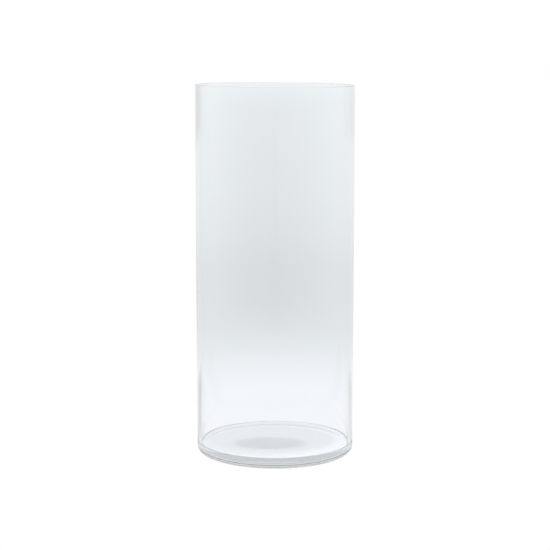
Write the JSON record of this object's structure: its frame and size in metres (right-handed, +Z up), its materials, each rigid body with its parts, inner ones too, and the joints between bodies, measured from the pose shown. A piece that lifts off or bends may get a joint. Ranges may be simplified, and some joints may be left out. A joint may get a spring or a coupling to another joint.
{
  "type": "glass cylinder vase",
  "caption": "Tall straight-sided clear glass cylinder vase with a flat polished rim, a thick clear base and a very shallow push-up underneath.",
  "frame": {"origin": "centre of the underside, on the table the vase stands on", "axes": "+Z up along the axis of the cylinder; the vase is round, so X and Y are free"},
  "size_m": [0.149, 0.149, 0.35],
  "materials": {
    "glass": "clear soda-lime glass, polished, very faint cool grey tint where it is thick"
  },
  "bodies": {
    "root": {"rim": "glass", "wall": "glass", "heel": "glass", "base": "glass"}
  },
  "joints": []
}
